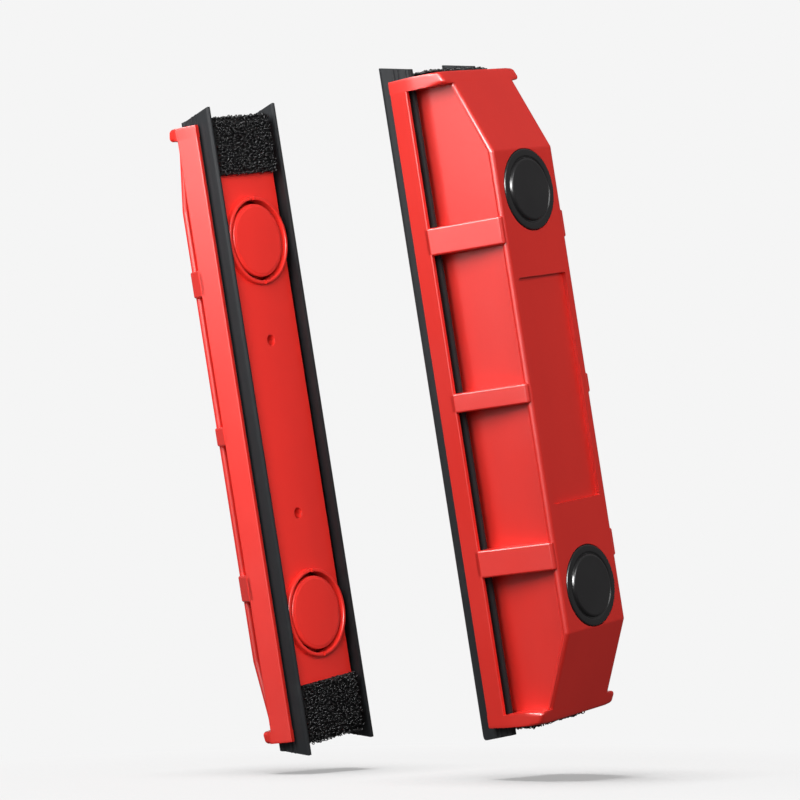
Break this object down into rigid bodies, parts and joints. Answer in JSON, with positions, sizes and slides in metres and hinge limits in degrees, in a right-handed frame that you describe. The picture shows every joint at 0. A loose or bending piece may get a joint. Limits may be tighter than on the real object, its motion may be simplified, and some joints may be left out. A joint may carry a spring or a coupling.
{
  "type": "magnetic glass cleaner",
  "caption": "Twin magnetic window wiper: a deep grip half and a slim half with rubber blades and scrub pads that clamp a glass pane between them.",
  "frame": {"origin": "middle of the glass face of the grip half, in the plane of its blade tips", "axes": "+Z along the cleaner towards its top end, +X out of the glass on the grip side, +Y across the cleaner"},
  "size_m": [0.1794, 0.0572, 0.2944],
  "materials": {
    "red_shell": "glossy moulded red plastic",
    "red_plate": "semi-gloss moulded red plastic",
    "rubber_blade": "satin black extruded rubber",
    "black_cap": "satin black moulded plastic",
    "loop_pad": "curly black nylon loops",
    "pad_tape": "foam adhesive backing",
    "magnet_plating": "nickel plated",
    "screw_steel": "zinc plated steel"
  },
  "bodies": {
    "grip_half": {"grip_shell": "red_shell", "grip_face_plate": "red_plate", "grip_screw_upper": "screw_steel", "grip_screw_lower": "screw_steel", "grip_magnet_cover_top": "red_plate", "grip_magnet_top": "magnet_plating", "grip_yoke_top": "screw_steel", "grip_cap_top": "black_cap", "grip_pad_top": "loop_pad", "grip_pad_tape_top": "pad_tape", "grip_magnet_cover_bottom": "red_plate", "grip_magnet_bottom": "magnet_plating", "grip_yoke_bottom": "screw_steel", "grip_cap_bottom": "black_cap", "grip_pad_bottom": "loop_pad", "grip_pad_tape_bottom": "pad_tape"},
    "slim_half": {"slim_shell": "red_shell", "slim_face_plate": "red_plate", "slim_screw_upper": "screw_steel", "slim_screw_lower": "screw_steel", "slim_magnet_cover_top": "red_plate", "slim_magnet_top": "magnet_plating", "slim_yoke_top": "screw_steel", "slim_cap_top": "black_cap", "slim_pad_top": "loop_pad", "slim_pad_tape_top": "pad_tape", "slim_magnet_cover_bottom": "red_plate", "slim_magnet_bottom": "magnet_plating", "slim_yoke_bottom": "screw_steel", "slim_cap_bottom": "black_cap", "slim_pad_bottom": "loop_pad", "slim_pad_tape_bottom": "pad_tape"},
    "grip_blade_left": {"grip_blade_left": "rubber_blade"},
    "grip_blade_right": {"grip_blade_right": "rubber_blade"},
    "slim_blade_left": {"slim_blade_left": "rubber_blade"},
    "slim_blade_right": {"slim_blade_right": "rubber_blade"}
  },
  "joints": [
    {"name": "clamp_slide", "type": "slide", "parent": "grip_half", "child": "slim_half", "axis": [1, 0, 0], "range_m": [0, 0.093]},
    {"name": "grip_blade_left_rock", "type": "hinge", "parent": "grip_half", "child": "grip_blade_left", "pos_m": [0.0155, -0.0227, 0], "axis": [0, 0, 1], "range_deg": [-5, 5], "stiffness_Nm_per_rad": 0.4},
    {"name": "grip_blade_right_rock", "type": "hinge", "parent": "grip_half", "child": "grip_blade_right", "pos_m": [0.0155, 0.0227, 0], "axis": [0, 0, 1], "range_deg": [-5, 5], "stiffness_Nm_per_rad": 0.4},
    {"name": "slim_blade_left_rock", "type": "hinge", "parent": "slim_half", "child": "slim_blade_left", "pos_m": [-0.1135, 0.0227, 0], "axis": [0, 0, 1], "range_deg": [-5, 5], "stiffness_Nm_per_rad": 0.4},
    {"name": "slim_blade_right_rock", "type": "hinge", "parent": "slim_half", "child": "slim_blade_right", "pos_m": [-0.1135, -0.0227, 0], "axis": [0, 0, 1], "range_deg": [-5, 5], "stiffness_Nm_per_rad": 0.4}
  ]
}
